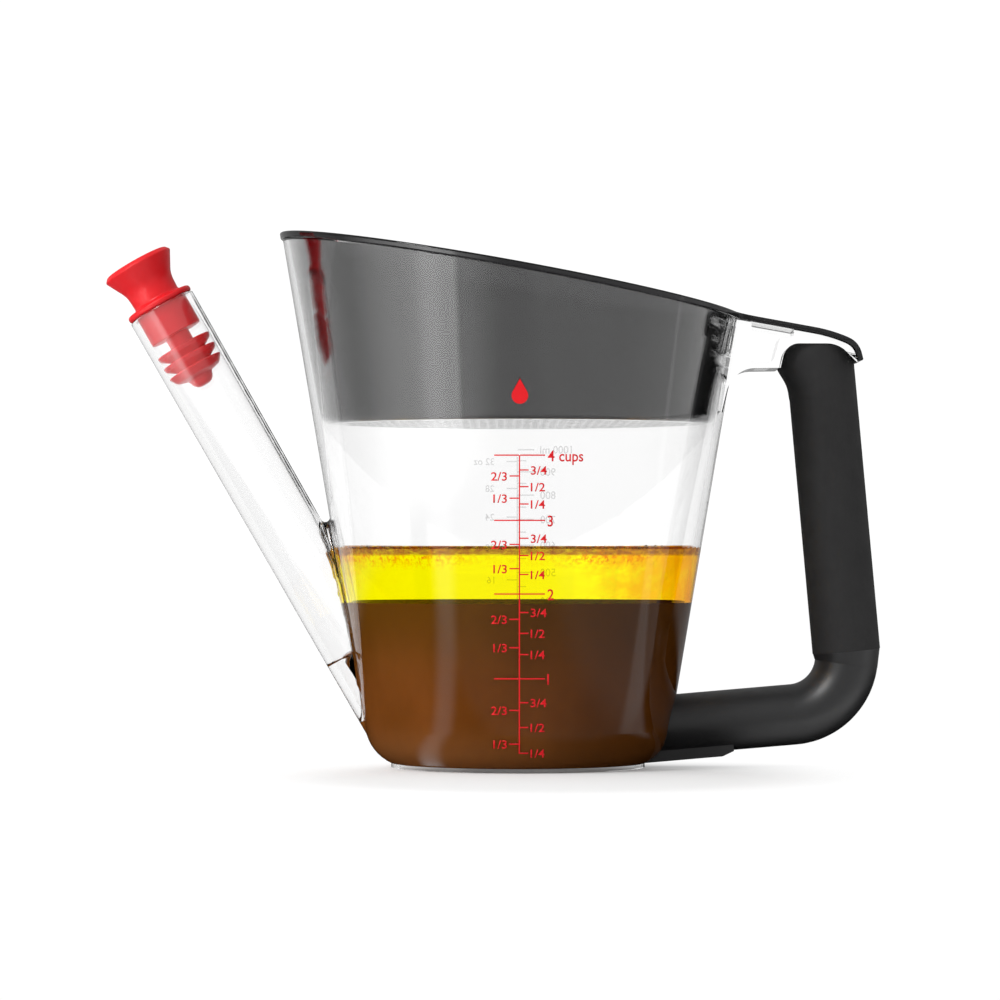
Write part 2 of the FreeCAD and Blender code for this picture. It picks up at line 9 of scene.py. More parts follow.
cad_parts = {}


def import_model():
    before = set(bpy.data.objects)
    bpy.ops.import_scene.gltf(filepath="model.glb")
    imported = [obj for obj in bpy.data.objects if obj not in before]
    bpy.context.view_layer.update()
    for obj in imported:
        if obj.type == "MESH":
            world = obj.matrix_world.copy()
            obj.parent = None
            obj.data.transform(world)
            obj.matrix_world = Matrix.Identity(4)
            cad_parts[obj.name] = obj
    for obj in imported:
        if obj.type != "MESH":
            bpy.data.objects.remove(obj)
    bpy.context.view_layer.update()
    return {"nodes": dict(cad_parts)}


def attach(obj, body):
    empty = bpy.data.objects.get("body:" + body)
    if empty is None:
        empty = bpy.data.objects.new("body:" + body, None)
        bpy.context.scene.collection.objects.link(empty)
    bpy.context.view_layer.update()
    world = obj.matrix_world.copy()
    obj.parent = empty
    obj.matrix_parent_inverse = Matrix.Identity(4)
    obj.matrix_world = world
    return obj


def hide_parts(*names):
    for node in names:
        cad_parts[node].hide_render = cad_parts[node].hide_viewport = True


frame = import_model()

# A gravy fat separator: materials, contents, print and studio round the CAD model.
# Lengths in the constants are millimetres, and the scene is in metres.
MM = 0.001
NODES = frame["nodes"]
SCENE = bpy.context.scene
random.seed(11)

# ------------------------------------------------------------------ sizes shared with the CAD
CUP_R0 = 48.7             # where the straight wall would meet the table
CUP_TAPER = 0.169
CUP_CORNER_R = 15.0
INNER_R0 = CUP_R0 - 2.5
INNER_TAPER = CUP_TAPER + 0.0042
INNER_FLOOR_Z = 4.4
SPOUT_ROOT_Z = 10.65
SPOUT_LEAN = math.radians(29.7)
SPOUT_FOOT_R = 11.0
SPOUT_REACH = 157.6
SPOUT_MOUTH_R = 11.65
BORE_MOUTH_R = 9.95
BORE_FOOT_R = 9.4
BORE_DEPTH = 131.8

# ------------------------------------------------------------------ contents
GRAVY_TOP_Z = 55.0
FAT_TOP_Z = 72.6
INTO_WALL = 0.12          # the liquids reach this far into the plastic, so no air shows between
GRAVY_FLOOR_Z = 1.7
BASE_SKIN = 0.5           # clear plastic left outside the gravy's colour, round the base


def cup_outer_r(z):
    return CUP_R0 + CUP_TAPER * z


def cup_inner_r(z):
    return INNER_R0 + INNER_TAPER * z


def cup_wall_r(z):
    """Radius of the cup's outside, with its rounded corner."""
    lean = math.atan(CUP_TAPER)
    corner_top = CUP_CORNER_R * (1 - math.sin(lean))
    if z >= corner_top:
        return cup_outer_r(z)
    centre_r = cup_outer_r(corner_top) - CUP_CORNER_R * math.cos(lean)
    return centre_r + math.sqrt(max(0.0, CUP_CORNER_R ** 2 - (CUP_CORNER_R - z) ** 2))


SPOUT_UP = Vector((-math.sin(SPOUT_LEAN), 0, math.cos(SPOUT_LEAN)))


def spout_mouth():
    """Middle of the spout's mouth."""
    root = Vector((-cup_wall_r(SPOUT_ROOT_Z), 0, SPOUT_ROOT_Z))
    across = Vector((math.cos(SPOUT_LEAN), 0, math.sin(SPOUT_LEAN)))
    return root + across * SPOUT_FOOT_R + SPOUT_UP * SPOUT_REACH


# ------------------------------------------------------------------ materials
class Nodes:
    """Short names for building a node tree."""

    def __init__(self, tree):
        self.tree = tree

    def node(self, kind, **settings):
        made = self.tree.nodes.new(kind)
        for key, value in settings.items():
            setattr(made, key, value)
        return made

    def link(self, source, target):
        self.tree.links.new(source, target)

    def math(self, operation, a, b=0.0):
        made = self.node("ShaderNodeMath", operation=operation)
        for socket, value in zip(made.inputs, (a, b)):
            if isinstance(value, (int, float)):
                socket.default_value = value
            else:
                self.link(value, socket)
        return made.outputs["Value"]

    def add(self, a, b):
        return self.math("ADD", a, b)

    def times(self, a, b):
        return self.math("MULTIPLY", a, b)

    def ramp(self, value, low, high, to_low=0.0, to_high=1.0):
        """Smooth step from to_low, where the value is low, to to_high, where it is high."""
        mapped = self.node("ShaderNodeMapRange", clamp=True, interpolation_type="SMOOTHSTEP")
        self.link(value, mapped.inputs["Value"])
        for key, number in (("From Min", low), ("From Max", high),
                            ("To Min", to_low), ("To Max", to_high)):
            mapped.inputs[key].default_value = number
        return mapped.outputs["Result"]

    def by_ray(self, diffuse, mirrored, seen):
        """One value for diffuse light, one in reflections and one where a ray looks at it."""
        path = self.node("ShaderNodeLightPath").outputs
        looks = self.math("MAXIMUM", path["Is Camera Ray"], path["Is Transmission Ray"])
        mirrors = self.times(path["Is Glossy Ray"], self.math("SUBTRACT", 1.0, looks))
        value = self.add(diffuse, self.times(looks, seen - diffuse))
        return self.add(value, self.times(mirrors, mirrored - diffuse))


class Shader(Nodes):
    """A procedural material around one Principled BSDF."""

    def __init__(self, name, colour, **sockets):
        self.mat = bpy.data.materials.new(name)
        self.mat.use_nodes = True
        super().__init__(self.mat.node_tree)
        self.bsdf = self.tree.nodes["Principled BSDF"]
        self.bsdf.inputs["Base Color"].default_value = (*colour, 1)
        for key, value in sockets.items():
            self.bsdf.inputs[key.replace("_", " ")].default_value = value
        self.coords = self.node("ShaderNodeTexCoord").outputs["Object"]

    def noise(self, size_mm, detail=3.0, stretch=(1, 1, 1), roughness=0.55):
        """Noise whose features are about size_mm across, from 0 to 1."""
        mapping = self.node("ShaderNodeMapping")
        mapping.inputs["Scale"].default_value = [s / (size_mm * MM) for s in stretch]
        self.link(self.coords, mapping.inputs["Vector"])
        noise = self.node("ShaderNodeTexNoise")
        noise.inputs["Scale"].default_value = 1.0
        noise.inputs["Detail"].default_value = detail
        noise.inputs["Roughness"].default_value = roughness
        self.link(mapping.outputs["Vector"], noise.inputs["Vector"])
        return noise.outputs["Fac"]

    def axis(self, letter):
        """One object coordinate, in millimetres."""
        split = self.node("ShaderNodeSeparateXYZ")
        self.link(self.coords, split.inputs["Vector"])
        return self.times(split.outputs[letter], 1 / MM)

    def mix(self, a, b, fac):
        """Blends two colours, or a colour socket and a colour, by a factor socket."""
        made = self.node("ShaderNodeMix", data_type="RGBA")
        for socket, value in ((made.inputs[6], a), (made.inputs[7], b)):
            if isinstance(value, tuple):
                socket.default_value = (*value, 1)
            else:
                self.link(value, socket)
        self.link(fac, made.inputs["Factor"])
        return made.outputs[2]

    def colour(self, source):
        self.link(source, self.bsdf.inputs["Base Color"])
        return self

    def vary(self, socket, size_mm, low, high):
        """Lets noise move a socket of the shader between two values."""
        level = self.ramp(self.noise(size_mm), 0.35, 0.65, low, high)
        self.link(level, self.bsdf.inputs[socket])

    def bump(self, source, depth_mm):
        bump = self.node("ShaderNodeBump")
        bump.inputs["Strength"].default_value = 1.0
        bump.inputs["Distance"].default_value = depth_mm * MM
        self.link(source, bump.inputs["Height"])
        self.link(bump.outputs["Normal"], self.bsdf.inputs["Normal"])
        return self


def clear_plastic():
    shader = Shader("clear_plastic", (1, 1, 1), IOR=1.49, Transmission_Weight=1.0, Roughness=0.01)
    shader.vary("Roughness", 30, 0.0, 0.025)
    return shader.bump(shader.noise(22, detail=1.0), 0.015)


def smoke_plastic():
    shader = Shader("smoke_plastic", (0.02, 0.02, 0.021), IOR=1.49, Transmission_Weight=0.85,
                    Roughness=0.05)
    clouds = shader.noise(30, detail=1.0)
    shader.colour(shader.mix((0.016, 0.016, 0.017), (0.026, 0.026, 0.027), clouds))
    shader.vary("Roughness", 12, 0.04, 0.09)
    return shader.bump(shader.noise(18, detail=1.0), 0.01)


def black_plastic():
    shader = Shader("black_plastic", (0.015, 0.015, 0.016), Roughness=0.36, Specular_IOR_Level=1.0)
    shader.colour(shader.mix((0.010, 0.010, 0.011), (0.015, 0.015, 0.016), shader.noise(9)))
    shader.vary("Roughness", 6, 0.40, 0.47)
    return shader.bump(shader.noise(0.5, detail=2.0), 0.006)


def soft_grip():
    shader = Shader("soft_grip", (0.023, 0.023, 0.024), Roughness=0.72, Specular_IOR_Level=0.35)
    shader.colour(shader.mix((0.020, 0.0195, 0.020), (0.028, 0.0275, 0.028), shader.noise(14)))
    shader.vary("Roughness", 8, 0.66, 0.78)
    return shader.bump(shader.noise(0.35, detail=3.0), 0.02)


def red_silicone():
    """Red silicone with painted light and shade: brighter below the spout's mouth, to make up for
    the clear wall darkening it there, and darker above the mouth.
    """
    shader = Shader("red_silicone", (0.82, 0.010, 0.018), Roughness=0.38, Specular_IOR_Level=0.45,
                    Subsurface_Weight=0.25, Subsurface_Radius=(1.0, 0.15, 0.1),
                    Subsurface_Scale=0.002)
    # painted shade: the silicone outside the spout gets a darker red than inside it
    outside = shader.mix((0.68, 0.007, 0.012), (0.75, 0.010, 0.016), shader.noise(7))
    up_spout = shader.add(shader.times(shader.axis("Z"), SPOUT_UP.z),
                          shader.times(shader.axis("X"), SPOUT_UP.x))
    mouth = spout_mouth().dot(SPOUT_UP)
    # painted light: the red inside the bore is brighter, to make up for the clear wall darkening it
    painted_light_in_bore = shader.ramp(up_spout, mouth, mouth - 1.0)
    shader.colour(shader.mix(outside, (0.97, 0.014, 0.022), painted_light_in_bore))
    shader.vary("Roughness", 5, 0.33, 0.45)
    return shader.bump(shader.noise(0.6, detail=2.0), 0.01)


def print_ink(name, colour, alpha=1.0):
    shader = Shader(name, colour, Roughness=0.5, Specular_IOR_Level=0.2, Alpha=alpha)
    darker = tuple(0.9 * c for c in colour)
    return shader.colour(shader.mix(darker, colour, shader.noise(1.5)))


def gravy():
    """Brown with clouds: greener under the fat, with painted light that makes it paler at the base
    and painted shade that makes it darker to the right.
    """
    shader = Shader("gravy", (0.16, 0.05, 0.01), Roughness=0.6, Specular_IOR_Level=0.0)
    height = shader.axis("Z")
    clouds = shader.ramp(shader.noise(26, detail=4.0, stretch=(1, 1, 0.5)), 0.3, 0.7)
    base = shader.mix((0.225, 0.070, 0.0110), (0.300, 0.096, 0.0190), clouds)
    under_fat = shader.ramp(height, 24.0, GRAVY_TOP_Z, 0.0, 0.8)
    base = shader.mix(base, (0.150, 0.062, 0.004), under_fat)
    # painted light: paler orange towards the base, where light shines through the thin gravy
    base = shader.mix(base, (0.36, 0.150, 0.050), shader.ramp(height, 18.0, 3.0, 0.0, 0.6))
    # painted shade: darker to the right, away from the lamps at the left
    painted_shade_to_right = shader.ramp(shader.axis("X"), -30.0, 44.0, 0.0, 0.8)
    return shader.colour(shader.mix(base, (0.068, 0.021, 0.002), painted_shade_to_right))


def fat():
    """Clear yellow with warmer wisps, orange specks near the top and a brown rim."""
    shader = Shader("fat", (1.0, 0.93, 0.0), IOR=1.0, Transmission_Weight=1.0, Roughness=0.03)
    height, across = shader.axis("Z"), shader.axis("X")

    wisps = shader.noise(9, detail=5.0, stretch=(0.5, 1, 1.3), roughness=0.65)
    warm_sides = shader.add(shader.ramp(across, 14.0, 46.0, 0.0, 0.36),
                            shader.ramp(across, -48.0, -58.0, 0.0, 0.25))
    warm_top = shader.ramp(height, 64.0, 72.0, 0.0, 0.12)
    level = shader.add(shader.add(wisps, warm_sides), warm_top)
    body = shader.mix((1.0, 0.93, 0.0), (1.0, 0.56, 0.0), shader.ramp(level, 0.58, 0.90))

    specks = shader.ramp(shader.noise(1.8, detail=5.0, roughness=0.65), 0.48, 0.62)
    at_left = shader.ramp(across, -12.0, -30.0, 0.25, 1.0)
    at_right = shader.times(shader.ramp(across, 14.0, 24.0), shader.ramp(across, 46.0, 40.0))
    specks = shader.times(specks, shader.add(at_left, at_right))
    specks = shader.times(specks, shader.ramp(height, 65.0, 70.0))
    body = shader.mix(body, (0.88, 0.24, 0.005), specks)

    # an orange strip up the right side
    strip = shader.times(shader.ramp(across, 49.5, 50.3),
                         shader.ramp(across, 56.0, 55.2, 0.0, 0.55))
    body = shader.mix(body, (1.0, 0.33, 0.0), strip)

    rim = shader.ramp(height, FAT_TOP_Z - 2.3, FAT_TOP_Z - 1.8)
    patches = shader.noise(3.0, detail=4.0, stretch=(1, 1, 2))
    rim = shader.times(rim, shader.ramp(patches, 0.36, 0.62, 0.55, 1.0))
    return shader.colour(shader.mix(body, (0.36, 0.13, 0.025), rim))


def bubble():
    shader = Shader("bubble", (1.0, 0.93, 0.7), IOR=1.2, Transmission_Weight=0.6, Roughness=0.1)
    return shader.colour(shader.mix((1.0, 0.82, 0.45), (1.0, 0.98, 0.92), shader.noise(1.0)))


MATERIALS = {make.__name__: make().mat for make in (
    clear_plastic, smoke_plastic, black_plastic, soft_grip, red_silicone, gravy, fat, bubble)}
for ink_name, ink_colour, ink_alpha in (("red_ink", (0.78, 0.010, 0.016), 1.0),
                                        ("white_ink", (0.85, 0.85, 0.85), 1.0),
                                        ("faint_ink", (0.45, 0.45, 0.46), 0.16)):
    MATERIALS[ink_name] = print_ink(ink_name, ink_colour, ink_alpha).mat


# ------------------------------------------------------------------ mesh helpers
def piece(name, shape, body, material):
    """Links a mesh, or a bmesh that it uses up, as a piece that rides on a body."""
    mesh = shape
    if isinstance(shape, bmesh.types.BMesh):
        mesh = bpy.data.meshes.new(name)
        shape.to_mesh(mesh)
        shape.free()
    obj = bpy.data.objects.new(name, mesh)
    SCENE.collection.objects.link(obj)
    mesh.materials.clear()
    mesh.materials.append(MATERIALS[material])
    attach(obj, body)
    return obj


def evaluated_mesh(obj):
    """A new mesh with what an object's modifiers or curves make."""
    bpy.context.view_layer.update()
    evaluated = obj.evaluated_get(bpy.context.evaluated_depsgraph_get())
    return bpy.data.meshes.new_from_object(evaluated)


def lathe(profile, segments=256):
    """Closed solid of revolution from (radius, height) points that start and end on the axis."""
    bm = bmesh.new()
    rings = []
    for radius, height in profile:
        if radius < 1e-6:
            rings.append([bm.verts.new((0, 0, height * MM))])
            continue
        ring = []
        for i in range(segments):
            angle = 2 * math.pi * i / segments
            at = (radius * MM * math.cos(angle), radius * MM * math.sin(angle), height * MM)
            ring.append(bm.verts.new(at))
        rings.append(ring)
    for low, high in zip(rings, rings[1:]):
        for i in range(segments):
            j = (i + 1) % segments
            corners = (low[i % len(low)], low[j % len(low)],
                       high[j % len(high)], high[i % len(high)])
            bm.faces.new(list(dict.fromkeys(corners)))
    bmesh.ops.recalc_face_normals(bm, faces=bm.faces)
    return bm


def smooth(obj, degrees=35):
    obj.data.shade_smooth()
    obj.data.set_sharp_from_angle(angle=math.radians(degrees))


def rounded(corners, steps=6):
    """Points along a run of corners (a, b, radius), each rounded by its own radius."""
    points = [Vector((a, b)) for a, b, _ in corners]
    made = []
    for i, (_, _, radius) in enumerate(corners):
        here = points[i]
        if radius == 0 or i in (0, len(corners) - 1):
            made.append(tuple(here))
            continue
        back = (points[i - 1] - here).normalized()
        on = (points[i + 1] - here).normalized()
        half = math.acos(max(-1.0, min(1.0, back.dot(on)))) / 2
        centre = here + (back + on).normalized() * (radius / math.sin(half))
        start = here + back * (radius / math.tan(half))
        sweep = math.pi - 2 * half
        turn = 1 if back.x * on.y - back.y * on.x < 0 else -1
        arm = start - centre
        for step in range(steps + 1):
            angle = turn * sweep * step / steps
            made.append((centre.x + arm.x * math.cos(angle) - arm.y * math.sin(angle),
                         centre.y + arm.x * math.sin(angle) + arm.y * math.cos(angle)))
    return made


# ------------------------------------------------------------------ the jug as one moulding
ON_WALL = 0.02            # a point of the spout this close to the cup's wall lies on it
SINK = 0.8                # and moves this far into the wall before the two are joined
NORMAL_REACH = 0.2        # a joined face takes its normals from source faces this close to it
LEAST_AGREEMENT = 0.6     # and turned much as it is: 1 is the same way, less the distance
INWARDS = 0.08            # share of the way to a face's middle, so that it finds its own source
SLIVER = 1e-24            # squared area below which a triangle has no use


def welded(node, name):
    """A copy of a CAD node's mesh whose seams are closed."""
    bm = bmesh.new()
    bm.from_mesh(NODES[node].data)
    bmesh.ops.remove_doubles(bm, verts=bm.verts, dist=1e-7)
    mesh = bpy.data.meshes.new(name)
    bm.to_mesh(mesh)
    bm.free()
    return mesh


def union(mesh_a, mesh_b):
    """Union of two closed meshes, as a new mesh."""
    first = bpy.data.objects.new("first", mesh_a)
    second = bpy.data.objects.new("second", mesh_b)
    for obj in (first, second):
        SCENE.collection.objects.link(obj)
    modifier = first.modifiers.new("join", "BOOLEAN")
    modifier.object = second
    modifier.operation = "UNION"
    modifier.solver = "EXACT"
    result = evaluated_mesh(first)
    for obj in (first, second):
        bpy.data.objects.remove(obj)
    return result


def take_normals(mesh, sources):
    """Gives each corner of a mesh the normal that the source meshes have there."""
    points, triangles, normals = [], [], []
    for source in sources:
        base = len(points)
        points += [v.co.copy() for v in source.vertices]
        source.calc_loop_triangles()
        corner = source.corner_normals
        for tri in source.loop_triangles:
            triangles.append([base + v for v in tri.vertices])
            normals.append([Vector(corner[loop].vector) for loop in tri.loops])
    tree = BVHTree.FromPolygons(points, triangles)
    reach = NORMAL_REACH * MM
    mesh.shade_smooth()
    given = [None] * len(mesh.loops)
    for poly in mesh.polygons:
        for loop in poly.loop_indices:
            at = mesh.vertices[mesh.loops[loop].vertex_index].co
            probe = at.lerp(poly.center, INWARDS)
            best, score = poly.normal.copy(), LEAST_AGREEMENT
            for _, face_normal, index, distance in tree.find_nearest_range(probe, reach):
                agree = face_normal.dot(poly.normal) - distance / (2 * reach)
                if agree > score:
                    a, b, c = (points[i] for i in triangles[index])
                    na, nb, nc = normals[index]
                    area = (b - a).cross(c - a)
                    total = area.dot(area)
                    if total < SLIVER:
                        continue
                    wb = (at - a).cross(c - a).dot(area) / total
                    wc = (b - a).cross(at - a).dot(area) / total
                    wb, wc = min(max(wb, 0), 1), min(max(wc, 0), 1)
                    best, score = (na * (1 - wb - wc) + nb * wb + nc * wc), agree
            given[loop] = best.normalized()
    mesh.normals_split_custom_set(given)


def jug_clear():
    """Cup and spout as one clear moulding, so that no wall shows where they join."""
    cup = welded("jug_cup", "cup")
    spout = welded("spout", "spout_in")
    for v in spout.vertices:
        radius = math.hypot(v.co.x, v.co.y)
        if abs(radius / MM - cup_wall_r(v.co.z / MM)) < ON_WALL:
            inward = (radius - SINK * MM) / radius
            v.co.x *= inward
            v.co.y *= inward
    made = union(cup, spout)
    take_normals(made, [NODES["jug_cup"].data, NODES["spout"].data])
    obj = piece("jug_clear", made, "jug", "clear_plastic")
    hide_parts("jug_cup", "spout")


# ------------------------------------------------------------------ the stopper
FIN_EDGES = (14.6, 18.5, 22.4)     # depths of the fins' edges below the mouth
FIN_GAP = 0.15                     # between fins and bore
NECK_R = 4.2
FIN_ROOT_R = 6.6


def stopper_soft():
    """The silicone stopper with its soft, cup-shaped fins, which the plain solid has as discs."""
    flange_r = SPOUT_MOUTH_R - 0.05
    # pull, waist, flange and plug: (radius, height above the mouth, rounding)
    corners = [(0, 18.1, 0), (11.0, 17.2, 1.2), (12.2, 15.8, 0.6), (8.3, 8.5, 9.0), (8.0, 2.5, 1.2),
               (flange_r, 2.2, 0.9), (flange_r, 0.2, 0.8), (9.0, 0.2, 0.3),
               (9.0, -10.3, 0.3), (NECK_R, -10.3, 0.6)]
    for depth in FIN_EDGES[:-1]:
        fin_r = BORE_MOUTH_R - (BORE_MOUTH_R - BORE_FOOT_R) * depth / BORE_DEPTH - FIN_GAP
        above_r = NECK_R if depth == FIN_EDGES[0] else FIN_ROOT_R
        corners += [(above_r, -depth - 1.4, 0.3), (fin_r - 0.6, -depth, 0.3),
                    (fin_r, -depth - 0.35, 0.25), (fin_r - 0.5, -depth - 1.7, 0.8),
                    (FIN_ROOT_R, -depth - 3.3, 0.4)]
    # the last fin, as wide as the one above it, with its bowl and the bulb below
    depth = FIN_EDGES[-1]
    corners += [(FIN_ROOT_R, -depth - 1.2, 0.3), (fin_r - 0.65, -depth, 0.3),
                (fin_r - 0.05, -depth - 0.35, 0.25), (7.9, -depth - 2.9, 2.0),
                (NECK_R, -depth - 3.9, 0.6), (4.9, -depth - 7.25, 3.2), (0, -depth - 7.25, 0)]
    body = lathe(rounded(corners), segments=128)
    place = Matrix.Translation(spout_mouth() * MM) @ Matrix.Rotation(-SPOUT_LEAN, 4, "Y")
    bmesh.ops.transform(body, matrix=place, verts=body.verts)
    obj = piece("stopper_soft", body, "stopper", "red_silicone")
    smooth(obj, 40)
    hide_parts("stopper")


# ------------------------------------------------------------------ liquids
BASE_HEIGHTS = (GRAVY_FLOOR_Z, 2.4, 3.4, 4.8, 6.6, 8.8, 11.4, 14.2)
BUBBLE_COUNT = 150
BUBBLE_CLUSTERS = (-112, -100, -74, -62, -50, 40, 95, 150, 230)     # bearings in degrees


def inner_profile(bottom, top, outset, step=4.0):
    """(radius, height) points up the straight part of the cup's inner wall."""
    count = max(2, int((top - bottom) / step))
    heights = [bottom + (top - bottom) * i / count for i in range(count + 1)]
    return [(cup_inner_r(height) + outset, height) for height in heights]


def liquids():
    """Gravy and fat. The gravy fills the base too, whose thick plastic carries its colour down."""
    base = [(cup_wall_r(z) - BASE_SKIN, z) for z in BASE_HEIGHTS]
    wall = inner_profile(20.0, GRAVY_TOP_Z, INTO_WALL)
    body = lathe([(0, GRAVY_FLOOR_Z)] + base + wall + [(0, GRAVY_TOP_Z)])
    smooth(piece("gravy_layer", body, "jug", "gravy"), 50)

    fat_floor = GRAVY_TOP_Z - 0.05
    wall = inner_profile(fat_floor, FAT_TOP_Z - 0.4, INTO_WALL - 0.03)
    top_r = cup_inner_r(FAT_TOP_Z)
    climb = [(top_r + INTO_WALL - 0.02, FAT_TOP_Z + 0.8), (top_r - 0.4, FAT_TOP_Z + 0.45),
             (top_r - 1.2, FAT_TOP_Z + 0.15), (top_r - 2.6, FAT_TOP_Z), (top_r * 0.5, FAT_TOP_Z)]
    body = lathe([(0, fat_floor)] + wall + climb + [(0, FAT_TOP_Z)])
    smooth(piece("fat_layer", body, "jug", "fat"))


def bubbles():
    """Foam that gathers where the fat's surface meets the wall."""
    bm = bmesh.new()
    top_r = cup_inner_r(FAT_TOP_Z)
    for _ in range(BUBBLE_COUNT):
        angle = math.radians(random.gauss(random.choice(BUBBLE_CLUSTERS), 9))
        small = random.random() < 0.85
        size = random.uniform(0.18, 0.45) if small else random.uniform(0.45, 0.7)
        radius = top_r - size - abs(random.gauss(0, 1.6)) - 0.25
        height = FAT_TOP_Z + 0.2 + 0.3 * size
        at = Vector((radius * math.cos(angle), radius * math.sin(angle), height)) * MM
        bmesh.ops.create_icosphere(bm, subdivisions=2, radius=size * MM,
                                   matrix=Matrix.Translation(at))
    smooth(piece("fat_bubbles", bm, "jug", "bubble"), 80)


# ------------------------------------------------------------------ print on the cup
US_FLUID_OUNCE_ML = 29.57
FIGURE_H = 0.71           # height of a figure of the built-in font at size 1
FIGURE_BOLD = 0.012
LINE = 0.42
SCALE_X = 0.2
SCALE_TOP_Z = 102.3
CUP_MARKS = ((SCALE_TOP_Z, "4 cups"), (81.6, "3"), (58.1, "2"), (30.9, "1"))
RIGHT_MARKS = ((6.8, "1/4"), (15.2, "1/2"), (23.2, "3/4"), (38.7, "1/4"),
               (45.5, "1/2"), (52.2, "3/4"), (64.35, "1/4"), (70.4, "1/2"),
               (75.9, "3/4"), (86.8, "1/4"), (92.3, "1/2"), (97.6, "3/4"))
LEFT_MARKS = ((9.8, "1/3"), (20.7, "2/3"), (40.9, "1/3"), (50.0, "2/3"),
              (66.2, "1/3"), (73.95, "2/3"), (88.65, "1/3"), (95.7, "2/3"))
BACK_SCALE_Z = (6.0, 104.4)
CONE_EXCESS = 11500       # cubic millimetres taken off a plain cone, roughly, for its round corner
INK = (0.05, 0.05)        # lift off the wall and thickness
BACKING = (0.015, 0.03)


class Print:
    """Flat artwork in (across, height) millimetres, wrapped round the outside of the cup."""

    def __init__(self, facing=-1):
        self.bm = bmesh.new()
        self.facing = facing      # -1 is the front, which looks along -Y, and 1 the back

    def bar(self, left, right, bottom, top):
        columns = max(1, int(abs(right - left) / 1.5))
        across = [left + (right - left) * i / columns for i in range(columns + 1)]
        lower = [self.bm.verts.new((x, bottom, 0)) for x in across]
        upper = [self.bm.verts.new((x, top, 0)) for x in across]
        for i in range(columns):
            self.bm.faces.new((lower[i], lower[i + 1], upper[i + 1], upper[i]))

    def level(self, left, right, height):
        """A line round the cup."""
        self.bar(left, right, height - LINE / 2, height + LINE / 2)

    def upright(self, across, bottom, top):
        """A line up the cup, in short steps where the wall curves in to the base."""
        heights = [bottom] + [7.5 + 0.75 * i for i in range(9)] + [top]
        for low, high in zip(heights, heights[1:]):
            self.bar(across - LINE / 2, across + LINE / 2, low, high)

    def outline(self, points):
        self.bm.faces.new([self.bm.verts.new((x, y, 0)) for x, y in points])

    def text(self, words, height, left=None, right=None, middle=0.0, narrow=1.0):
        """Words whose figures are height tall; a side and the middle height place them."""
        curve = bpy.data.curves.new("words", "FONT")
        curve.body = words
        curve.resolution_u = 4
        curve.offset = FIGURE_BOLD
        holder = bpy.data.objects.new("words", curve)
        SCENE.collection.objects.link(holder)
        mesh = evaluated_mesh(holder)
        bpy.data.objects.remove(holder)
        scale = height / FIGURE_H
        xs = [v.co.x * scale * narrow for v in mesh.vertices]
        start = left if left is not None else right - (max(xs) - min(xs))
        for x, v in zip(xs, mesh.vertices):
            v.co = (start + x - min(xs), middle - height / 2 + v.co.y * scale, 0)
        self.bm.from_mesh(mesh)
        bpy.data.meshes.remove(mesh)

    def finish(self, name, material, lift, thickness):
        """Thickens the artwork, bends it round the cup and makes it a piece."""
        bm = self.bm
        bmesh.ops.remove_doubles(bm, verts=bm.verts, dist=1e-5)
        bmesh.ops.recalc_face_normals(bm, faces=bm.faces)
        for face in bm.faces:
            if face.normal.z < 0:
                face.normal_flip()
        top = bmesh.ops.extrude_face_region(bm, geom=list(bm.faces))
        for v in (g for g in top["geom"] if isinstance(g, bmesh.types.BMVert)):
            v.co.z = thickness
        bmesh.ops.recalc_face_normals(bm, faces=bm.faces)
        for v in bm.verts:
            across, height, out = v.co.x, v.co.y, v.co.z + lift
            radius = cup_wall_r(height) + out
            angle = across / radius
            v.co = Vector((radius * math.sin(angle) * -self.facing,
                           radius * math.cos(angle) * self.facing, height)) * MM
        bmesh.ops.recalc_face_normals(bm, faces=bm.faces)
        piece(name, bm, "jug", material)


def scale_artwork():
    """The measuring scale: whole cups, with quarters at the right and thirds at the left."""
    art = Print()
    art.upright(SCALE_X, RIGHT_MARKS[0][0] - LINE / 2, SCALE_TOP_Z)
    line_left, line_right = SCALE_X - LINE / 2, SCALE_X + LINE / 2
    for height, words in CUP_MARKS:
        art.level(-7.9, line_left, height)
        art.level(line_right, 8.4, height)
        art.text(words, 3.5, left=9.2, middle=height - 0.15, narrow=0.92)
    for height, words in RIGHT_MARKS:
        art.level(line_right, 3.1, height)
        art.text(words, 2.7, left=3.8, middle=height - 0.1, narrow=1.12)
    for height, words in LEFT_MARKS:
        art.level(-3.0, line_left, height)
        art.text(words, 2.7, right=-3.8, middle=height - 0.1, narrow=1.12)
    return art


def back_artwork():
    """Millilitre and ounce scale on the far side, which shows faintly through the cup."""
    art = Print(facing=1)
    art.upright(0, *BACK_SCALE_Z)
    for millilitres in range(50, 1001, 50):
        height = ml_height(millilitres)
        major = millilitres % 100 == 0
        art.level(-6.0 if major else -3.2, -LINE / 2, height)
        if major:
            words = f"{millilitres} ml" if millilitres == 1000 else str(millilitres)
            art.text(words, 2.7, right=-8.2, middle=height)
    for ounces in range(4, 33, 4):
        height = ml_height(ounces * US_FLUID_OUNCE_ML)
        art.level(LINE / 2, 3.8, height)
        art.text(f"{ounces} oz" if ounces == 32 else str(ounces), 2.4, left=8.2, middle=height)
    return art


def drop_artwork(x=0.3, z=122.5, height=8.0):
    """A plain drop, tip upwards."""
    radius = height * 0.33
    centre = z - height / 2 + radius
    angles = [math.radians(-205 + 230 * i / 24) for i in range(25)]
    points = [(x + radius * math.cos(a), centre + radius * math.sin(a)) for a in angles]
    art = Print()
    art.outline(points + [(x, z + height / 2)])
    return art


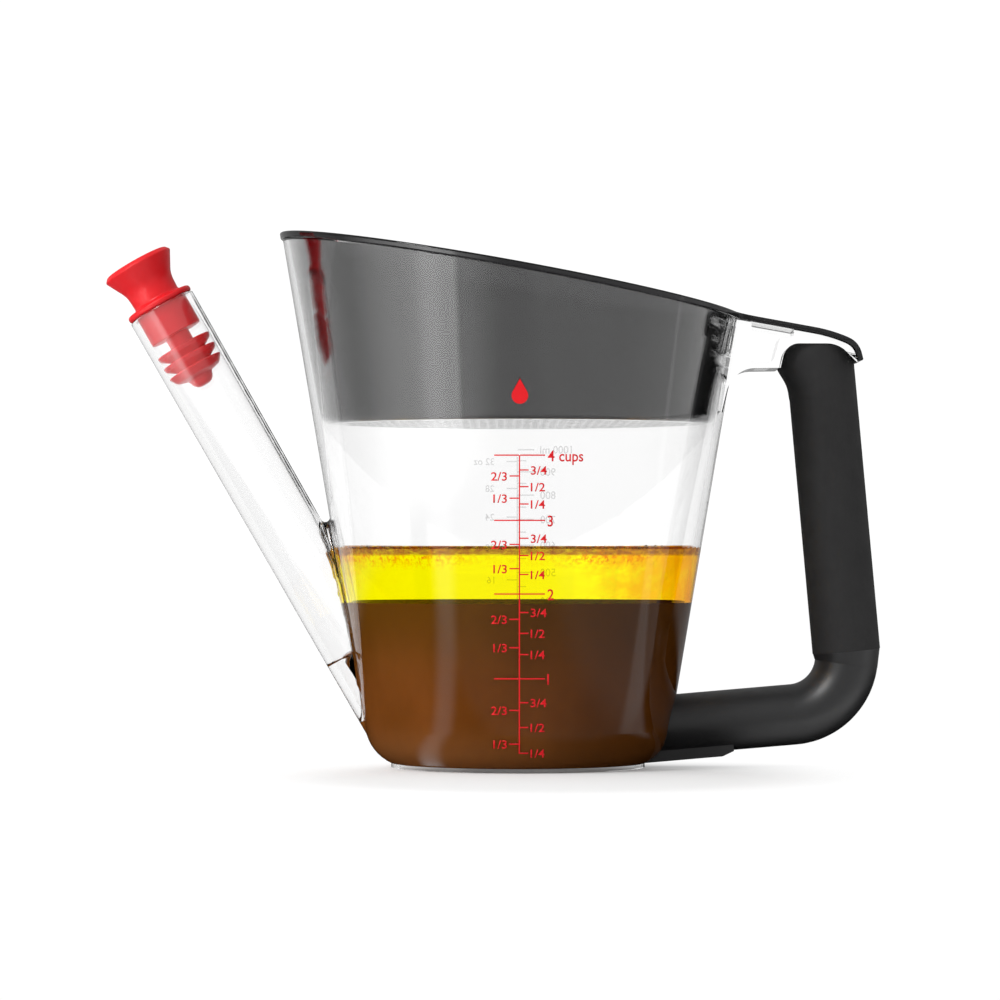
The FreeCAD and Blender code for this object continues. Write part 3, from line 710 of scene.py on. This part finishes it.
def ml_height(millilitres):
    """Height of a fill in the cup, from its inner floor and taper."""
    low, high = INNER_FLOOR_Z, 120.0
    for _ in range(40):
        middle = (low + high) / 2
        a, b = cup_inner_r(INNER_FLOOR_Z), cup_inner_r(middle)
        cone = math.pi * (middle - INNER_FLOOR_Z) * (a * a + a * b + b * b) / 3
        enough = (cone - CONE_EXCESS) / 1000 >= millilitres
        low, high = (low, middle) if enough else (middle, high)
    return low


def prints():
    scale_artwork().finish("scale_front_ink", "red_ink", *INK)
    scale_artwork().finish("scale_front_backing", "white_ink", *BACKING)
    back_artwork().finish("scale_back", "faint_ink", *BACKING)
    drop_artwork().finish("drop_mark", "red_ink", *INK)


# ------------------------------------------------------------------ studio
# Places and sizes here are metres. The camera's last lengths and the reflector's ramps are mm.
WORLD_STRENGTHS = (0.66, 0.33, 1.05)       # diffuse light, in reflections, looked at
FLOOR_HALF = 6.0
FLOOR_Z = -0.02 * MM
SHADE_CENTRE = (0.010, -0.075, 0)          # the floor shows its shadow round here,
SHADE_RADII = (0.055, 0.135)               # and turns to plain white between these distances
CARD_R = 1.3
CARD_Z = -1 * MM
AIM = Vector((0, 0, 0.09))
CAMERA_PLACE = (-0.006, -1.400, 0.0728)
CAMERA_DISTANCE = 1400
CAMERA_RISE = 16                           # up over that distance
PICTURE_WIDTH = 1000 / 3                   # what the picture spans at that distance
SENSOR_WIDTH = 36.0


def world():
    made = bpy.data.worlds.new("studio")
    SCENE.world = made
    made.use_nodes = True
    nodes = Nodes(made.node_tree)
    background = nodes.tree.nodes["Background"]
    background.inputs["Color"].default_value = (1, 1, 1, 1)
    nodes.link(nodes.by_ray(*WORLD_STRENGTHS), background.inputs["Strength"])


def flat_face(name, rim, z):
    """A level face through the rim's points."""
    mesh = bpy.data.meshes.new(name)
    mesh.from_pydata([(x, y, 0) for x, y in rim], [], [tuple(range(len(rim)))])
    obj = bpy.data.objects.new(name, mesh)
    SCENE.collection.objects.link(obj)
    obj.location.z = z
    return obj


def table():
    """White floor: it keeps the shadow near the object, and is plain white to the eye elsewhere."""
    rim = [(-FLOOR_HALF, -FLOOR_HALF), (FLOOR_HALF, -FLOOR_HALF),
           (FLOOR_HALF, FLOOR_HALF), (-FLOOR_HALF, FLOOR_HALF)]
    floor = flat_face("floor", rim, FLOOR_Z)
    floor.visible_glossy = False
    mat = bpy.data.materials.new("floor")
    mat.use_nodes = True
    nodes = Nodes(mat.node_tree)
    nodes.tree.nodes.remove(nodes.tree.nodes["Principled BSDF"])
    diffuse = nodes.node("ShaderNodeBsdfDiffuse")
    diffuse.inputs["Color"].default_value = (0.9, 0.9, 0.9, 1)
    distance = nodes.node("ShaderNodeVectorMath", operation="DISTANCE")
    distance.inputs[1].default_value = SHADE_CENTRE
    nodes.link(nodes.node("ShaderNodeTexCoord").outputs["Object"], distance.inputs[0])
    distance = distance.outputs["Value"]
    share = nodes.times(nodes.by_ray(0.0, 0.0, 1.0), nodes.ramp(distance, *SHADE_RADII, 0.08, 1.0))
    glow = nodes.node("ShaderNodeEmission")
    nodes.link(nodes.ramp(distance, *SHADE_RADII, 1.35, 1.02), glow.inputs["Strength"])
    both = nodes.node("ShaderNodeMixShader")
    for source, socket in zip((share, diffuse.outputs[0], glow.outputs[0]), both.inputs):
        nodes.link(source, socket)
    nodes.link(both.outputs[0], nodes.tree.nodes["Material Output"].inputs["Surface"])
    floor.data.materials.append(mat)


def softbox(name, place, width, radiance):
    """Square area light that looks at the middle of the object."""
    data = bpy.data.lights.new(name, "AREA")
    data.size = width
    data.energy = radiance * math.pi * width * width
    obj = bpy.data.objects.new(name, data)
    SCENE.collection.objects.link(obj)
    obj.location = place
    obj.rotation_euler = (AIM - obj.location).to_track_quat("-Z", "Y").to_euler()
    obj.visible_camera = False
    return obj


def lamps():
    key = softbox("key_softbox", (-0.75, -0.72, 0.81), 0.34, 16.0)
    left = softbox("left_softbox", (-0.95, -0.45, 0.45), 0.9, 1.7)
    right = softbox("right_softbox", (1.0, -0.45, 0.5), 0.8, 0.6)
    for lamp in (left, right):
        lamp.visible_glossy = False
    for lamp in (key, right):
        lamp.visible_transmission = False


def reflector():
    """What the jug's walls mirror: a round card on the table that only reflections see.

    Bearings are degrees round the jug, from the spout's side at 0 to the front at 90.
    """
    angles = [2 * math.pi * i / 64 for i in range(64)]
    rim = [(CARD_R * math.cos(a), CARD_R * math.sin(a)) for a in angles]
    card = flat_face("reflector", rim, CARD_Z)
    for ray in ("camera", "diffuse", "transmission", "shadow"):
        setattr(card, "visible_" + ray, False)
    shader = Shader("reflector", (0, 0, 0), Specular_IOR_Level=0.0, Roughness=1.0,
                    Emission_Color=(1, 1, 1, 1))
    across, along = shader.axis("X"), shader.axis("Y")
    squares = shader.math("POWER", across, 2.0), shader.math("POWER", along, 2.0)
    radius = shader.math("SQRT", shader.add(*squares))
    bearing = shader.math("ARCTAN2", shader.times(along, -1.0), shader.times(across, -1.0))
    bearing = shader.times(bearing, 180 / math.pi)

    # further out: a white panel at the left over a dim surround
    panel = shader.add(shader.ramp(bearing, -8, 34, 0.0, 2.9),
                       shader.ramp(bearing, 30, 48, 0.0, 1.3))
    panel = shader.math("SUBTRACT", panel, shader.ramp(bearing, 58, 62, 0.0, 2.7))
    panel = shader.math("SUBTRACT", panel, shader.ramp(bearing, 60, 84, 0.0, 1.5))
    far = shader.times(shader.ramp(radius, 320, 430), shader.add(panel, 0.19))

    # close to the jug: dark but for a pale front, the table under the arm and a streak
    front = shader.ramp(shader.math("SUBTRACT", along, shader.times(across, 0.485)), -66, -86)
    near = shader.times(front, shader.ramp(across, 60, 120, 0.16, 0.34))
    under_arm = shader.times(shader.ramp(along, 0, -15), shader.ramp(along, -50, -38))
    under_arm = shader.times(under_arm, shader.ramp(across, 66, 84, 0.0, 0.45))
    streak = shader.times(shader.ramp(bearing, 36, 45), shader.ramp(bearing, 56, 48, 0.0, 0.85))
    near = shader.add(shader.add(near, under_arm), streak)

    shader.link(shader.add(near, far), shader.bsdf.inputs["Emission Strength"])
    card.data.materials.append(shader.mat)


def camera():
    data = bpy.data.cameras.new("camera")
    data.sensor_width = SENSOR_WIDTH
    data.lens = SENSOR_WIDTH * CAMERA_DISTANCE / PICTURE_WIDTH
    data.clip_start, data.clip_end = 0.05, 50
    obj = bpy.data.objects.new("camera", data)
    SCENE.collection.objects.link(obj)
    obj.location = CAMERA_PLACE
    obj.rotation_euler = (math.radians(90) + math.atan2(CAMERA_RISE, CAMERA_DISTANCE), 0, 0)
    SCENE.camera = obj


# ------------------------------------------------------------------ assembly
for node, material in (("handle_frame", "black_plastic"), ("handle_grip", "soft_grip"),
                       ("strainer_basket", "smoke_plastic"), ("strainer_sieve", "smoke_plastic")):
    for slot in NODES[node].material_slots:
        slot.material = MATERIALS[material]

jug_clear()
stopper_soft()
liquids()
bubbles()
prints()
world()
table()
lamps()
reflector()
camera()
SCENE.view_settings.view_transform = "Standard"
